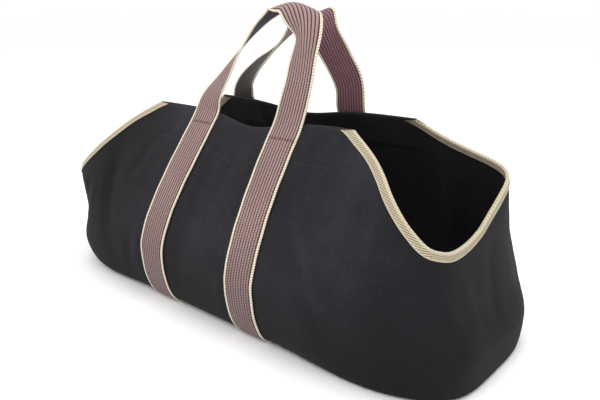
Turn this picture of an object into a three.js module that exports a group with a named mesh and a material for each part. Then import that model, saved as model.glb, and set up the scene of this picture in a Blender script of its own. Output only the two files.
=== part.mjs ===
// Canvas log carrier: a trough of stiff canvas with rounded closed ends, a bound U-shaped
// scoop at each end, two webbing straps sewn round the body and two free webbing handles.
// Millimetres, +Z up. X runs along the bag, the front panel faces -Y, and the floor is z = 0.
import * as THREE from "three";

// ---------------------------------------------------------------- driving dimensions
const BODY_HEIGHT = 212; // canvas bottom to the corners of the top edges
const CANVAS = 1.6; // wall thickness
const TOP_EDGE = { right: 153, left: 146 }; // from the middle to each end of the straight top edges
const MOUTH_HALF = 49; // half distance between the two top edges
const BELLY_HALF = 124; // half depth of the bag at its widest
const BELLY_HEIGHT = 62; // height where it is widest
const FLOOR_HALF = 98; // half depth of the flat that it rests on, between the straps
const FLOOR_HALF_ENDS = 115; // and towards both ends, where nothing pulls the canvas in
const LEAN = 1.4; // how the walls close in above the belly: 1 straight, more is rounder
const WEB_WIDTH = 41; // webbing
const WEB_THICK = 1.8;
const GAP = 0.35; // play between pieces that touch
const LIFT = WEB_THICK + GAP; // canvas bottom above the floor, because the straps pass under it
const FLARE = 11.5; // how far the left scoop's low edge is pulled outwards
const TAPE_WIDTH = 9.5; // binding on each face of the canvas
const TAPE_THICK = 1.0;
const STRAP_TOP_BELOW_EDGE = 9; // seam between strap and handle, below the top edge
const SEAM_GAP = 0.4;

// Plan of the bag at shares of its height: half length of each end, how square the plan is, and how
// far the right end turns towards the front, in x per mm of y.
const PLAN = [
  { share: 0.0, right: 285, left: 252, square: 4.2, turn: 0.12 },
  { share: 0.13, right: 288, left: 291, square: 4.5, turn: 0.12 },
  { share: 0.32, right: 273, left: 277, square: 4.7, turn: 0.08 },
  { share: 0.55, right: 263.5, left: 303, square: 5.0, turn: 0.07 },
  { share: 1.0, right: 269, left: 314, square: 5.5, turn: 0.07 },
];
// How far each top edge sags between the straps: the place of its lowest point, half width and depth.
const DIPS = [
  { panel: -1, x: 22, halfWidth: 54, depth: 11 },
  { panel: 1, x: -8, halfWidth: 60, depth: 10 },
];
// Height of each scoop's edge, at shares of the way round the end from the front corner to the rear one.
// The right scoop hangs lowest towards the front.
const SCOOP = {
  right: [
    { share: 0.0, height: 212 },
    { share: 0.1, height: 193 },
    { share: 0.19, height: 167 },
    { share: 0.275, height: 141.5 },
    { share: 0.335, height: 126.5 },
    { share: 0.385, height: 122.5 },
    { share: 0.43, height: 124.5 },
    { share: 0.485, height: 131 },
    { share: 0.545, height: 146 },
    { share: 0.61, height: 161 },
    { share: 0.7, height: 174.5 },
    { share: 0.84, height: 187 },
    { share: 0.93, height: 199 },
    { share: 1.0, height: 212 },
  ],
  left: [
    { share: 0.0, height: 212 },
    { share: 0.1, height: 188 },
    { share: 0.2, height: 157 },
    { share: 0.3, height: 125.5 },
    { share: 0.36, height: 112 },
    { share: 0.42, height: 107.5 },
    { share: 0.5, height: 107 },
    { share: 0.58, height: 107.5 },
    { share: 0.64, height: 112 },
    { share: 0.7, height: 125.5 },
    { share: 0.8, height: 157 },
    { share: 0.9, height: 188 },
    { share: 1.0, height: 212 },
  ],
};
const SCOOP_PLAN = 150; // height of the plan that the shares are measured on
// Soft folds of the front and rear panels: place, size and depth of each hollow, and its lean in x per mm of height.
const FOLDS = [
  { panel: -1, x: 196, z: 125, halfWidth: 13, halfHeight: 60, depth: 5.0, lean: 0.05 },
  { panel: -1, x: 146, z: 82, halfWidth: 14, halfHeight: 50, depth: 4.0, lean: -0.75 },
  { panel: -1, x: 118, z: 160, halfWidth: 12, halfHeight: 45, depth: 2.5, lean: 0.2 },
  { panel: -1, x: -20, z: 110, halfWidth: 22, halfHeight: 70, depth: 3.0, lean: 0.15 },
  { panel: -1, x: -176, z: 105, halfWidth: 16, halfHeight: 55, depth: 3.5, lean: -0.2 },
  { panel: 1, x: 170, z: 115, halfWidth: 16, halfHeight: 60, depth: 4.5, lean: 0.15 },
  { panel: 1, x: 10, z: 105, halfWidth: 20, halfHeight: 65, depth: 3.0, lean: -0.15 },
  { panel: 1, x: -160, z: 112, halfWidth: 16, halfHeight: 60, depth: 4.0, lean: -0.1 },
];
// Straps: where the middle of each crosses the belly and the top edge, on the front and rear panels.
const STRAPS = [
  { name: "body_strap_left", frontTop: -55, frontBelly: -71, rearBelly: -90, rearTop: -112 },
  { name: "body_strap_right", frontTop: 72, frontBelly: 74, rearBelly: 72, rearTop: 64 },
];
// Handles: centre line of each loop between its seams, left to right, as x, y, z of the webbing's
// middle, and how far the webbing has turned there: 0 lies along the bag, 1 across it.
const HANDLES = {
  handle_front: {
    panel: -1,
    loop: [
      { x: -49, y: -52, z: 227, turn: 0.08 },
      { x: -38, y: -44, z: 246, turn: 0.26 },
      { x: -19, y: -30, z: 282, turn: 0.49 },
      { x: -4, y: -15, z: 308, turn: 0.66 },
      { x: 11, y: -4, z: 322, turn: 0.8 },
      { x: 42, y: -14, z: 327, turn: 1.2 },
      { x: 67, y: -30, z: 319.5, turn: 0.22 },
      { x: 80, y: -39, z: 303, turn: -0.09 },
      { x: 83, y: -43, z: 283, turn: -0.1 },
      { x: 83, y: -47, z: 259, turn: -0.08 },
      { x: 78, y: -50, z: 235, turn: -0.03 },
    ],
  },
  handle_rear: {
    panel: 1,
    loop: [
      { x: -107, y: 48, z: 227, turn: 0.1 },
      { x: -84, y: 45, z: 248, turn: 0.3 },
      { x: -54, y: 43, z: 269, turn: 0.45 },
      { x: -17, y: 42, z: 296, turn: 0.62 },
      { x: -2, y: 43, z: 312, turn: 0.88 },
      { x: 11, y: 45, z: 316, turn: 1.2 },
      { x: 23, y: 47, z: 309, turn: 0.3 },
      { x: 34, y: 47, z: 293, turn: 0.04 },
      { x: 49, y: 48, z: 267, turn: -0.02 },
      { x: 64, y: 49, z: 243, turn: 0 },
      { x: 65, y: 50, z: 226, turn: 0 },
    ],
  },
};

// Mesh density
const END_STEPS = 38; // columns round each scoop, from corner to corner
const PANEL_STEPS = 12; // columns along each straight top edge
const WALL_RINGS = 8;
const BILGE_RINGS = 5;
const FLOOR_RINGS = 3;
const WEB_COLUMNS = 4; // across a strap
const LOOP_STEPS = 44; // along a handle

// ---------------------------------------------------------------- small tools
const clamp = (v, lo, hi) => Math.min(hi, Math.max(lo, v));
const vec = (x, y, z) => new THREE.Vector3(x, y, z);

// Smooth curve through a table's column, flat where neighbouring slopes disagree in sign.
function column(rows, key, at) {
  const n = rows.length;
  const slope = (i) => (rows[i + 1][key] - rows[i][key]) / (rows[i + 1].share - rows[i].share);
  const tangent = (i) => {
    if (i === 0) return slope(0);
    if (i === n - 1) return slope(n - 2);
    const a = slope(i - 1);
    const b = slope(i);
    return a * b <= 0 ? 0 : (2 * a * b) / (a + b);
  };
  const share = clamp(at, 0, 1);
  let i = 0;
  while (i < n - 2 && share > rows[i + 1].share) i++;
  const h = rows[i + 1].share - rows[i].share;
  const u = (share - rows[i].share) / h;
  return (
    rows[i][key] * (1 + 2 * u) * (1 - u) ** 2 +
    tangent(i) * h * u * (1 - u) ** 2 +
    rows[i + 1][key] * u * u * (3 - 2 * u) +
    tangent(i + 1) * h * u * u * (u - 1)
  );
}

// ---------------------------------------------------------------- the bag's surface
function halfDepth(z, x) {
  if (z < BELLY_HEIGHT) {
    const t = (BELLY_HEIGHT - z) / BELLY_HEIGHT;
    const end = THREE.MathUtils.smoothstep(Math.abs(x), 95, 235);
    const floor = FLOOR_HALF + (FLOOR_HALF_ENDS - FLOOR_HALF) * end;
    return floor + (BELLY_HALF - floor) * Math.sqrt(Math.max(0, 1 - t * t));
  }
  const t = clamp((z - BELLY_HEIGHT) / (BODY_HEIGHT - BELLY_HEIGHT), 0, 1);
  return BELLY_HALF - (BELLY_HALF - MOUTH_HALF) * t ** LEAN;
}
// The end's half length drops to the flat with the same quarter round as the panels.
function halfLength(z, side) {
  const key = side > 0 ? "right" : "left";
  const share = z / BODY_HEIGHT;
  const bend = 0.13 * BODY_HEIGHT;
  if (z < bend) {
    const t = (bend - z) / bend;
    return PLAN[0][key] + (PLAN[1][key] - PLAN[0][key]) * Math.sqrt(Math.max(0, 1 - t * t));
  }
  return column(PLAN, key, share);
}
// Point of the outer face at plan angle a (0 at the right end, a quarter turn at the rear) and height z.
function skin(a, z) {
  const c = Math.cos(a);
  const s = Math.sin(a);
  const power = 2 / column(PLAN, "square", z / BODY_HEIGHT);
  let x = halfLength(z, c) * Math.sign(c) * Math.abs(c) ** power;
  let y = halfDepth(z, x) * Math.sign(s) * Math.abs(s) ** power;
  if (x > 0) x -= column(PLAN, "turn", z / BODY_HEIGHT) * y * (x / halfLength(z, c)) ** 6;
  else x -= FLARE * THREE.MathUtils.smoothstep(z, 84, 110) * (x / halfLength(z, c)) ** 10;
  for (const f of FOLDS) {
    if (Math.sign(y) !== f.panel) continue;
    const dx = (x - f.x - f.lean * (z - f.z)) / f.halfWidth;
    const dz = (z - f.z) / f.halfHeight;
    y -= f.panel * f.depth * Math.exp(-dx * dx) * Math.exp(-dz * dz) * Math.min(1, z / 40);
  }
  return vec(x, y, z);
}
// Plan angle of the corner between top edge and scoop, on the side given.
function cornerAngle(side) {
  const square = column(PLAN, "square", 1);
  const edge = side > 0 ? TOP_EDGE.right : TOP_EDGE.left;
  return Math.acos((edge / halfLength(BODY_HEIGHT, side)) ** (square / 2));
}
const CORNER = { right: cornerAngle(1), left: cornerAngle(-1) };

// Run of the plan round one end, counted from the front corner, at steps that are closest at its middle.
function endRun(side) {
  const corner = side > 0 ? CORNER.right : CORNER.left;
  const steps = 600;
  const at = (i) => {
    const u = (2 * i) / steps - 1;
    const t = corner * Math.sign(u) * Math.abs(u) ** 2.5;
    return skin(side > 0 ? t : Math.PI - t, SCOOP_PLAN);
  };
  const run = [0];
  for (let i = 1; i <= steps; i++) run.push(run[i - 1] + at(i).distanceTo(at(i - 1)));
  return { corner, steps, run };
}
const END_RUN = { right: endRun(1), left: endRun(-1) };
// Height of the scoop's edge, where t is the plan angle from the middle of the end, towards the rear.
function scoopHeight(side, t) {
  const { corner, steps, run } = END_RUN[side];
  const u = Math.sign(t) * (Math.abs(t) / corner) ** 0.4;
  const f = clamp(((u + 1) / 2) * steps, 0, steps - 1e-6);
  const i = Math.floor(f);
  const share = (run[i] + (run[i + 1] - run[i]) * (f - i)) / run[steps];
  return column(SCOOP[side], "height", share);
}
// Height of the rim at plan angle a in (-pi, pi].
function rimHeight(a) {
  const off = Math.abs(a);
  if (off < CORNER.right) return scoopHeight("right", a);
  if (Math.PI - off < CORNER.left) return scoopHeight("left", (Math.PI - off) * Math.sign(a));
  const corner = skin(a, BODY_HEIGHT);
  const edge = 1 - (corner.x / (corner.x > 0 ? TOP_EDGE.right : TOP_EDGE.left)) ** 6;
  return DIPS.filter((d) => Math.sign(corner.y) === d.panel).reduce(
    (z, d) => z - edge * d.depth * Math.exp(-(((corner.x - d.x) / d.halfWidth) ** 2)),
    BODY_HEIGHT,
  );
}
const rimPoint = (a) => skin(a, rimHeight(a));

// Angles that cut the rim from one angle to another into steps of equal length.
function evenAngles(from, to, steps) {
  const fine = 400;
  const at = [];
  const run = [0];
  for (let i = 0; i <= fine; i++) at.push(from + ((to - from) * i) / fine);
  for (let i = 1; i <= fine; i++)
    run.push(run[i - 1] + rimPoint(at[i]).distanceTo(rimPoint(at[i - 1])));
  const out = [];
  for (let k = 0, i = 0; k < steps; k++) {
    const goal = (run[fine] * k) / steps;
    while (i < fine - 1 && run[i + 1] < goal) i++;
    const u = (goal - run[i]) / Math.max(1e-9, run[i + 1] - run[i]);
    out.push(at[i] + (at[i + 1] - at[i]) * clamp(u, 0, 1));
  }
  return out;
}
// Columns of the mesh, anticlockwise seen from above: right scoop, rear edge, left scoop, front edge.
const R = CORNER.right;
const L = CORNER.left;
const ANGLES = [
  ...evenAngles(-R, 0, END_STEPS / 2),
  ...evenAngles(0, R, END_STEPS / 2),
  ...evenAngles(R, Math.PI - L, PANEL_STEPS),
  ...evenAngles(Math.PI - L, Math.PI, END_STEPS / 2),
  ...evenAngles(-Math.PI, L - Math.PI, END_STEPS / 2),
  ...evenAngles(L - Math.PI, -R, PANEL_STEPS),
];
const COLUMNS = ANGLES.length;

// The point of the skin at a given distance from the rim, square to the rim and down the wall.
function belowRim(i, distance) {
  const a = ANGLES[i];
  const z = rimHeight(a);
  const at = skin(a, z);
  const next = rimPoint(ANGLES[(i + 1) % COLUMNS]);
  const before = rimPoint(ANGLES[(i + COLUMNS - 1) % COLUMNS]);
  const along = next.clone().sub(at).normalize().add(at.clone().sub(before).normalize()).normalize();
  const step = 1e-3;
  const byAngle = skin(a + step, z).sub(skin(a - step, z)).divideScalar(2 * step);
  const byHeight = skin(a, z).sub(skin(a, z - 1));
  const normal = byAngle.clone().cross(byHeight).normalize();
  const down = along.clone().cross(normal).normalize();
  if (down.z > 0) down.negate();
  // solve down * distance = byAngle * p + byHeight * q in the tangent plane
  const m11 = byAngle.dot(byAngle);
  const m12 = byAngle.dot(byHeight);
  const m22 = byHeight.dot(byHeight);
  const r1 = byAngle.dot(down) * distance;
  const r2 = byHeight.dot(down) * distance;
  const det = m11 * m22 - m12 * m12;
  const p = (r1 * m22 - r2 * m12) / det;
  const q = (r2 * m11 - r1 * m12) / det;
  return { a: a + p, z: z + q };
}

// Rings of the outer face, from the rim to the edge of the flat, then in to the middle.
function buildRings() {
  const rings = [ANGLES.map(rimPoint)];
  const bound = ANGLES.map((a, i) => belowRim(i, TAPE_WIDTH + 1));
  rings.push(bound.map((b) => skin(b.a, b.z)));
  for (let k = 1; k <= WALL_RINGS; k++) {
    const u = k / WALL_RINGS;
    rings.push(
      bound.map((b, i) => {
        let turn = ANGLES[i] - b.a;
        if (turn > Math.PI) turn -= 2 * Math.PI;
        if (turn < -Math.PI) turn += 2 * Math.PI;
        return skin(b.a + turn * u, b.z + (BELLY_HEIGHT - b.z) * u);
      }),
    );
  }
  for (let k = 1; k <= BILGE_RINGS; k++) {
    const z = BELLY_HEIGHT * (1 - Math.sin((k / BILGE_RINGS) * (Math.PI / 2)));
    rings.push(ANGLES.map((a) => skin(a, k === BILGE_RINGS ? 0 : z)));
  }
  const edge = rings[rings.length - 1];
  for (let k = 1; k <= FLOOR_RINGS; k++) {
    const u = 1 - k / (FLOOR_RINGS + 1);
    rings.push(edge.map((p) => vec(p.x * u, p.y * u, 0)));
  }
  rings.forEach((ring) => ring.forEach((p) => (p.z += LIFT)));
  return rings;
}
const OUTER = buildRings();
const FLAT_RING = OUTER.length - 1 - FLOOR_RINGS; // from here inwards the canvas lies flat

// Outward normal at each ring vertex, from its neighbours.
const NORMALS = OUTER.map((ring, k) =>
  ring.map((p, i) => {
    if (k >= FLAT_RING) return vec(0, 0, -1);
    const around = ring[(i + 1) % COLUMNS].clone().sub(ring[(i + COLUMNS - 1) % COLUMNS]);
    const up = OUTER[Math.max(0, k - 1)][i].clone().sub(OUTER[Math.min(OUTER.length - 1, k + 1)][i]);
    return around.cross(up).normalize();
  }),
);
const off = (k, i, distance) => OUTER[k][i].clone().addScaledVector(NORMALS[k][i], distance);

// ---------------------------------------------------------------- meshes from rings
// Closed mesh from vertices and triangles, all wound one way, turned so that they face out.
function solid(points, faces) {
  const geometry = new THREE.BufferGeometry();
  geometry.setAttribute(
    "position",
    new THREE.Float32BufferAttribute(
      points.flatMap((p) => [p.x, p.y, p.z]),
      3,
    ),
  );
  const volume = faces.reduce(
    (sum, [a, b, c]) => sum + points[a].dot(points[b].clone().cross(points[c])),
    0,
  );
  geometry.setIndex(faces.map((f) => (volume < 0 ? [f[0], f[2], f[1]] : f)).flat());
  geometry.computeVertexNormals();
  return geometry;
}
// Skin that closes round (columns wrap) between poles at its first and last ring.
function bowl(rings, firstPole, lastPole) {
  const n = rings[0].length;
  const points = [firstPole, ...rings.flat(), lastPole];
  const id = (k, i) => 1 + k * n + (((i % n) + n) % n);
  const last = points.length - 1;
  const faces = [];
  for (let i = 0; i < n; i++) {
    faces.push([0, id(0, i + 1), id(0, i)]);
    faces.push([last, id(rings.length - 1, i), id(rings.length - 1, i + 1)]);
    for (let k = 0; k < rings.length - 1; k++) {
      faces.push([id(k, i), id(k, i + 1), id(k + 1, i + 1)]);
      faces.push([id(k, i), id(k + 1, i + 1), id(k + 1, i)]);
    }
  }
  return solid(points, faces);
}
// Bar swept through sections of equal length, each a closed loop of points, with flat ends.
// The faces named in otherWay are split along their other diagonal.
function bar(sections, otherWay) {
  const m = sections[0].length;
  const points = sections.flat();
  const id = (k, i) => k * m + (i % m);
  const faces = [];
  for (let k = 0; k < sections.length - 1; k++)
    for (let i = 0; i < m; i++) {
      if (otherWay.includes(i)) {
        faces.push([id(k, i), id(k, i + 1), id(k + 1, i)]);
        faces.push([id(k, i + 1), id(k + 1, i + 1), id(k + 1, i)]);
      } else {
        faces.push([id(k, i), id(k, i + 1), id(k + 1, i + 1)]);
        faces.push([id(k, i), id(k + 1, i + 1), id(k + 1, i)]);
      }
    }
  return { points, faces, id, count: sections.length };
}
function capped(sections, endTriangles, otherWay = []) {
  const b = bar(sections, otherWay);
  for (const [p, q, r] of endTriangles) {
    b.faces.push([b.id(0, r), b.id(0, q), b.id(0, p)]);
    b.faces.push([b.id(b.count - 1, p), b.id(b.count - 1, q), b.id(b.count - 1, r)]);
  }
  return solid(b.points, b.faces);
}

const canvasLook = new THREE.MeshStandardMaterial({ color: 0x2b2a2e, roughness: 0.85, metalness: 0 });
const tapeLook = new THREE.MeshStandardMaterial({ color: 0xbba98c, roughness: 0.9, metalness: 0 });
const webLook = new THREE.MeshStandardMaterial({ color: 0x7d6464, roughness: 0.85, metalness: 0 });

const carrier = new THREE.Group();
function add(name, geometry, material) {
  const mesh = new THREE.Mesh(geometry, material);
  mesh.name = name;
  carrier.add(mesh);
}

// ---------------------------------------------------------------- canvas body
{
  const outerUp = OUTER.map((ring) => ring).reverse(); // middle of the bottom to the rim, outside
  const inner = OUTER.map((ring, k) => ring.map((p, i) => off(k, i, -CANVAS)));
  add(
    "canvas_body",
    bowl([...outerUp, ...inner].map((r) => r.map((p) => p.clone())), vec(0, 0, LIFT), vec(0, 0, LIFT + CANVAS)),
    canvasLook,
  );
}

// ---------------------------------------------------------------- bindings of the two scoops
// Tape folded over the edge: its section is a narrow channel with the canvas between its flaps.
function binding(from, to) {
  const inside = GAP;
  const outside = GAP + TAPE_THICK;
  const sections = [];
  for (let j = from; j <= to; j++) {
    const i = ((j % COLUMNS) + COLUMNS) % COLUMNS;
    const share = TAPE_WIDTH / (TAPE_WIDTH + 1);
    const low = (d) => off(0, i, d).lerp(off(1, i, d), share);
    const up = OUTER[0][i].clone().sub(OUTER[1][i]).normalize();
    const over = (d, h) => off(0, i, d).addScaledVector(up, h);
    sections.push([
      low(outside),
      over(outside, outside),
      over(-CANVAS - outside, outside),
      low(-CANVAS - outside),
      low(-CANVAS - inside),
      over(-CANVAS - inside, inside),
      over(inside, inside),
      low(inside),
    ]);
  }
  const ends = [
    [0, 6, 7],
    [0, 1, 6],
    [1, 5, 6],
    [1, 2, 5],
    [2, 4, 5],
    [2, 3, 4],
  ];
  return capped(sections, ends, [4, 6]);
}
add("end_binding_right", binding(0, END_STEPS), tapeLook);
add("end_binding_left", binding(END_STEPS + PANEL_STEPS, 2 * END_STEPS + PANEL_STEPS), tapeLook);

// ---------------------------------------------------------------- straps sewn round the body
// Where ring k crosses the plane x on the panel given, with the skin's normal there.
function crossing(k, x, panel) {
  for (let i = 0; i < COLUMNS; i++) {
    const j = (i + 1) % COLUMNS;
    const p = OUTER[k][i];
    const q = OUTER[k][j];
    if (p.y * panel <= 0 || (p.x - x) * (q.x - x) > 0 || p.x === q.x) continue;
    const u = (x - p.x) / (q.x - p.x);
    const n = NORMALS[k][i].clone().lerp(NORMALS[k][j], u).normalize();
    return { point: p.clone().lerp(q, u), normal: n };
  }
  throw new Error("no crossing at ring " + k);
}
// The same on the wall at height z, between the first two rings.
function crossingAt(z, x, panel) {
  const top = crossing(0, x, panel);
  const below = crossing(1, x, panel);
  const u = (top.point.z - z) / (top.point.z - below.point.z);
  return {
    point: top.point.clone().lerp(below.point, u),
    normal: top.normal.clone().lerp(below.normal, u).normalize(),
  };
}
// Middle of a strap at height z: straight under the belly, and easing over to its place at the top.
function strapX(top, belly, z) {
  const u = clamp((z - LIFT - BELLY_HEIGHT) / (BODY_HEIGHT - BELLY_HEIGHT), 0, 1);
  return belly + (top - belly) * u * u * (3 - 2 * u);
}
// Section of a strap: a flat band laid on the skin, WEB_COLUMNS wide.
function strapSection(centre, hitAt) {
  const near = [];
  const far = [];
  for (let c = 0; c <= WEB_COLUMNS; c++) {
    const hit = hitAt(centre + WEB_WIDTH * (c / WEB_COLUMNS - 0.5));
    near.push(hit.point.clone().addScaledVector(hit.normal, GAP));
    far.push(hit.point.clone().addScaledVector(hit.normal, GAP + WEB_THICK));
  }
  return [...far, ...near.reverse()];
}
const STRAP_CAP = [];
for (let c = 0; c < WEB_COLUMNS; c++) {
  const last = 2 * WEB_COLUMNS + 1;
  STRAP_CAP.push([c, c + 1, last - c - 1], [c, last - c - 1, last - c]);
}
const strapTop = {};
for (const s of STRAPS) {
  const run = (panel, top, belly) => {
    const edge = crossing(0, top, panel).point.z;
    const sides = [-1, 1].map((d) => crossing(0, top + (d * WEB_WIDTH) / 2, panel).point.z);
    const height = Math.min(edge, ...sides) - STRAP_TOP_BELOW_EDGE;
    const sections = [strapSection(top, (x) => crossingAt(height, x, panel))];
    for (let k = 2; k <= FLAT_RING; k++) {
      const guess = crossing(k, belly, panel).point.z;
      sections.push(
        strapSection(strapX(top, belly, guess), (x) => {
          const hit = crossing(k, x, panel);
          if (k === FLAT_RING) hit.normal.set(0, 0, -1);
          return hit;
        }),
      );
    }
    sections.height = height;
    return sections;
  };
  const front = run(-1, s.frontTop, s.frontBelly);
  const rear = run(1, s.rearTop, s.rearBelly);
  strapTop[s.name + "front"] = { height: front.height };
  strapTop[s.name + "rear"] = { height: rear.height };
  add(s.name, capped([...front, ...rear.reverse()], STRAP_CAP), webLook);
}

// ---------------------------------------------------------------- handles
// Lowest sections of a handle's leg, laid on the panel from just above the strap's end to the top edge.
function legFoot(strap, top, panel, leftLeg) {
  const height = strapTop[strap].height + SEAM_GAP;
  const edge = crossing(0, top, panel).point.z;
  const laid = [
    (x) => crossingAt(height, x, panel),
    (x) => {
      const low = crossingAt(height, x, panel);
      const high = crossing(0, x, panel);
      return { point: low.point.lerp(high.point, 0.5), normal: low.normal.lerp(high.normal, 0.5).normalize() };
    },
    (x) => {
      const high = crossing(0, x, panel);
      high.point.addScaledVector(high.normal, GAP);
      return high;
    },
  ].map((hitAt) => strapSection(top, hitAt));
  // strapSection runs along +X on the outer face and back on the inner one: a left leg runs the other way
  const half = WEB_COLUMNS + 1;
  const turned = laid.map((sec) => [...sec.slice(0, half).reverse(), ...sec.slice(half).reverse()]);
  const sections = leftLeg ? turned : laid;
  const mid = (sec) => sec.reduce((sum, p) => sum.add(p), vec(0, 0, 0)).divideScalar(sec.length);
  return { sections, low: mid(sections[0]), top: mid(sections[2]), edge };
}
function handle(spec) {
  const tops = STRAPS.map((s) => (spec.panel < 0 ? s.frontTop : s.rearTop));
  const side = spec.panel < 0 ? "front" : "rear";
  const a = legFoot(STRAPS[0].name + side, tops[0], spec.panel, true);
  const b = legFoot(STRAPS[1].name + side, tops[1], spec.panel, false);
  const rows = [
    { p: a.low, turn: 0 },
    { p: a.top, turn: 0 },
    ...spec.loop.map((r) => ({ p: vec(r.x, r.y, r.z), turn: r.turn })),
    { p: b.top, turn: 0 },
    { p: b.low, turn: 0 },
  ];
  const curve = new THREE.CatmullRomCurve3(rows.map((r) => r.p), false, "centripetal");
  const apex = rows.reduce((best, r, i) => (r.turn > rows[best].turn ? i : best), 0);
  const turnAt = (r) => (r <= apex ? rows[r].turn : 2 - rows[r].turn);
  const free = [];
  const last = rows.length - 1;
  for (let k = 0; k <= LOOP_STEPS; k++) {
    const f = 1.7 + ((last - 3.4) * k) / LOOP_STEPS;
    const i = Math.floor(f);
    const u = f - i;
    const turn = turnAt(i) + (turnAt(i + 1) - turnAt(i)) * u * u * (3 - 2 * u);
    const angle = (turn * Math.PI) / 2;
    const p = curve.getPoint(f / last);
    const along = curve.getTangent(f / last);
    // the width starts pointing left, crosses the bag at the top and ends pointing right
    const wide = vec(-Math.cos(angle), Math.sin(angle), 0);
    // level with the top edge at the feet, square to the webbing's run from there on
    const square = clamp(Math.min(k, LOOP_STEPS - k) / 6, 0, 1);
    wide.addScaledVector(along, -wide.dot(along) * square).normalize();
    const out = wide.clone().cross(along).multiplyScalar(spec.panel).normalize();
    const row = (o) =>
      Array.from({ length: WEB_COLUMNS + 1 }, (_, c) =>
        p
          .clone()
          .addScaledVector(wide, WEB_WIDTH * (c / WEB_COLUMNS - 0.5))
          .addScaledVector(out, (o * WEB_THICK) / 2),
      );
    free.push([...row(1), ...row(-1).reverse()]);
  }
  return capped([...a.sections, ...free, ...b.sections.reverse()], STRAP_CAP);
}
for (const [name, spec] of Object.entries(HANDLES)) add(name, handle(spec), webLook);

// The origin is the middle of the whole carrier's outline on the floor.
const outline = new THREE.Box3().setFromObject(carrier, true);
carrier.position.set(-(outline.min.x + outline.max.x) / 2, -(outline.min.y + outline.max.y) / 2, -outline.min.z);

export default carrier;
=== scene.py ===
import math

import bpy
import numpy as np
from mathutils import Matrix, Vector, noise


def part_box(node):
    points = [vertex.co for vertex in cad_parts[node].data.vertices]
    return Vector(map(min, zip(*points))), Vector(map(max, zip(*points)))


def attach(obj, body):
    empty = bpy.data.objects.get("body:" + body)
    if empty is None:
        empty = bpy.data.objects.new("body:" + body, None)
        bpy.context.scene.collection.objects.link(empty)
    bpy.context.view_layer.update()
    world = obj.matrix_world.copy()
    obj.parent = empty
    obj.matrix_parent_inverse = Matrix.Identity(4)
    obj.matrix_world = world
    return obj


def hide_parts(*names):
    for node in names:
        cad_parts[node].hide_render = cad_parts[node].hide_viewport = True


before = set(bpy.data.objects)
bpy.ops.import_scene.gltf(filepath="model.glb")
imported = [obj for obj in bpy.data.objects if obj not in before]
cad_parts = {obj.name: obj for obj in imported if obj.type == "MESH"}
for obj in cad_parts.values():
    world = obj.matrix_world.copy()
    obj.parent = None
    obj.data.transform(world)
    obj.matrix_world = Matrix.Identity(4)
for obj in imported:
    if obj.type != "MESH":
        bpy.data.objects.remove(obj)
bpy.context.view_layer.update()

MM = 0.001

# ---------------------------------------------------------------- the bag's shape, in millimetres, as in the CAD
BODY_HEIGHT = 212.0
CANVAS = 1.6
TOP_EDGE = {1: 153.0, -1: 146.0}
MOUTH_HALF = 49.0
BELLY_HALF = 124.0
BELLY_HEIGHT = 62.0
FLOOR_HALF = 98.0
FLOOR_HALF_ENDS = 115.0
LEAN = 1.4
WEB_WIDTH = 41.0
LIFT = 2.15
TAPE_WIDTH = 9.5
TAPE_SLIM = 0.84
FLARE = 11.5
SEAM_BELOW_EDGE = 9.0

# share of the height, right half length, left half length, squareness, turn of the right end
PLAN = np.array([
    [0.0, 285, 252, 4.2, 0.12],
    [0.13, 288, 291, 4.5, 0.12],
    [0.32, 273, 277, 4.7, 0.08],
    [0.55, 263.5, 303, 5.0, 0.07],
    [1.0, 269, 314, 5.5, 0.07],
])
# panel, place of the lowest point, half width, depth
DIPS = [(-1, 22, 54, 11), (1, -8, 60, 10)]
# share of the way round the end from the front corner to the rear one, height of the edge
SCOOP = {
    1: np.array([
        [0.0, 212], [0.1, 193], [0.19, 167], [0.275, 141.5], [0.335, 126.5], [0.385, 122.5], [0.43, 124.5],
        [0.485, 131], [0.545, 146], [0.61, 161], [0.7, 174.5], [0.84, 187], [0.93, 199], [1.0, 212],
    ]),
    -1: np.array([
        [0.0, 212], [0.1, 188], [0.2, 157], [0.3, 125.5], [0.36, 112], [0.42, 107.5],
        [0.5, 107], [0.58, 107.5], [0.64, 112], [0.7, 125.5], [0.8, 157], [0.9, 188], [1.0, 212],
    ]),
}
SCOOP_PLAN = 150.0
# panel, x, z, half width, half height, depth, lean
FOLDS = [
    (-1, 196, 125, 13, 60, 5.0, 0.05),
    (-1, 146, 82, 14, 50, 4.0, -0.75),
    (-1, 118, 160, 12, 45, 2.5, 0.2),
    (-1, -20, 110, 22, 70, 3.0, 0.15),
    (-1, -176, 105, 16, 55, 3.5, -0.2),
    (1, 170, 115, 16, 60, 4.5, 0.15),
    (1, 10, 105, 20, 65, 3.0, -0.15),
    (1, -160, 112, 16, 60, 4.0, -0.1),
]
# front top, front belly, rear belly, rear top
STRAPS = {"left": (-55, -71, -90, -112), "right": (72, 74, 72, 64)}
# x, y, z, turn along each handle, left to right
HANDLES = {
    "front": (-1, [
        (-49, -52, 227, 0.08), (-38, -44, 246, 0.26), (-19, -30, 282, 0.49), (-4, -15, 308, 0.66), (11, -4, 322, 0.8), (42, -14, 327, 1.2), (67, -30, 319.5, 0.22), (80, -39, 303, -0.09), (83, -43, 283, -0.1), (83, -47, 259, -0.08), (78, -50, 235, -0.03)]),
    "rear": (1, [
        (-107, 48, 227, 0.1), (-84, 45, 248, 0.3), (-54, 43, 269, 0.45), (-17, 42, 296, 0.62), (-2, 43, 312, 0.88), (11, 45, 316, 1.2), (23, 47, 309, 0.3), (34, 47, 293, 0.04), (49, 48, 267, -0.02), (64, 49, 243, 0), (65, 50, 226, 0)]),
}


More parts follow.
